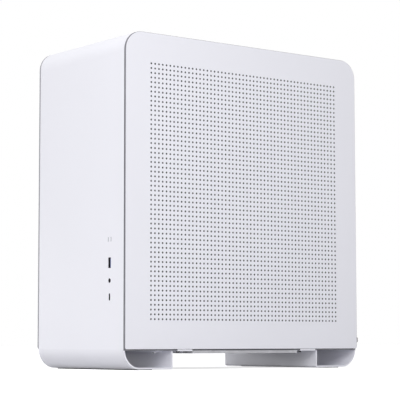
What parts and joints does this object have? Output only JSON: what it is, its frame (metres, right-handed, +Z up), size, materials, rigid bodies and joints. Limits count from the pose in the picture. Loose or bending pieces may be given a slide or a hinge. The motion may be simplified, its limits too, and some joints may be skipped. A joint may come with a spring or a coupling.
{
  "type": "mid tower pc case",
  "caption": "Upright computer case with a bent metal shell whose ends curve under as feet, perforated pull-off side panels, front ports and a sliding dust filter.",
  "frame": {"origin": "centre of the bounding box on the plane that the foot pads rest on", "axes": "+Z up, the front face with the ports looks along -Y, +X is the side of the panel that the picture shows"},
  "size_m": [0.205, 0.3996, 0.427],
  "materials": {
    "shell_silver": "fine bead-blasted, anodised silver-white",
    "panel_silver": "smooth satin silver-white powder coat",
    "chassis_black": "satin black powder coat",
    "foot_foam": "matt closed-cell foam rubber",
    "rubber_black": "matt soft rubber",
    "screw_steel": "nickel-plated steel",
    "screw_black": "black oxide steel, satin",
    "socket_plastic": "matt nylon",
    "standoff_brass": "turned brass",
    "black_plastic": "fine-grained moulded plastic",
    "filter_grey": "light grey moulded plastic, satin",
    "filter_mesh": "fine nylon mesh",
    "board_green": "solder-masked circuit board",
    "usb_blue": "moulded blue plastic",
    "light_pipe": "clear smoked light pipe"
  },
  "bodies": {
    "case": {"outer_shell": "shell_silver", "rear_foot": "shell_silver", "front_foot_pad": "foot_foam", "rear_foot_pad": "foot_foam", "foot_screws": "screw_steel", "right_panel_sockets": "socket_plastic", "left_panel_sockets": "socket_plastic", "side_frame_right": "chassis_black", "side_frame_left": "chassis_black", "chassis_base": "shell_silver", "rear_plate": "chassis_black", "port_bay": "chassis_black", "motherboard_tray": "chassis_black", "top_rail": "chassis_black", "rear_thumbscrews": "screw_black", "standoffs": "standoff_brass", "slot_screws": "screw_steel", "psu_bracket": "chassis_black", "psu_bracket_screws": "screw_steel", "power_inlet": "black_plastic", "power_inlet_pins": "screw_steel", "power_inlet_screws": "screw_black", "drive_tray": "chassis_black", "drive_grommets": "rubber_black", "drive_tray_screws": "screw_steel", "ssd_bracket": "chassis_black", "ssd_bracket_screws": "screw_steel", "rear_fan_frame": "black_plastic", "rear_fan_screws": "screw_steel", "filter_rail_front": "shell_silver", "filter_rail_rear": "shell_silver", "filter_rail_screws": "screw_black", "io_board": "board_green", "io_bracket": "chassis_black", "usb_a_shell": "screw_black", "usb_a_tongue": "usb_blue", "audio_jack": "black_plastic", "usb_c_shell": "screw_black", "usb_c_tongue": "black_plastic", "indicator_lights": "light_pipe", "power_switch": "socket_plastic", "switch_housing": "socket_plastic", "cable_grommet_1": "rubber_black", "cable_grommet_2": "rubber_black", "cable_grommet_3": "rubber_black", "slot_cover_1": "chassis_black", "slot_cover_2": "chassis_black", "slot_cover_3": "chassis_black", "slot_cover_4": "chassis_black", "slot_cover_5": "chassis_black", "slot_cover_6": "chassis_black", "slot_cover_7": "chassis_black"},
    "right_panel": {"right_side_panel": "panel_silver", "right_panel_studs": "screw_steel"},
    "left_panel": {"left_side_panel": "panel_silver", "left_panel_studs": "screw_steel"},
    "filter": {"filter_frame": "filter_grey", "filter_mesh": "filter_mesh"},
    "power_button": {"power_button": "shell_silver"},
    "rear_fan_rotor": {"rear_fan_rotor": "black_plastic"}
  },
  "joints": [
    {"name": "right_panel_pull", "type": "slide", "parent": "case", "child": "right_panel", "axis": [1, 0, 0], "range_m": [0, 0.06]},
    {"name": "left_panel_pull", "type": "slide", "parent": "case", "child": "left_panel", "axis": [-1, 0, 0], "range_m": [0, 0.06]},
    {"name": "filter_slide", "type": "slide", "parent": "case", "child": "filter", "axis": [1, 0, 0], "range_m": [0, 0.18]},
    {"name": "power_button_press", "type": "slide", "parent": "case", "child": "power_button", "axis": [0, 0, -1], "range_m": [0, 0.0015], "stiffness_N_per_m": 1300},
    {"name": "rear_fan_spin", "type": "hinge", "parent": "case", "child": "rear_fan_rotor", "pos_m": [-0.03535, 0.17725, 0.334], "axis": [0, 1, 0], "continuous": true}
  ]
}
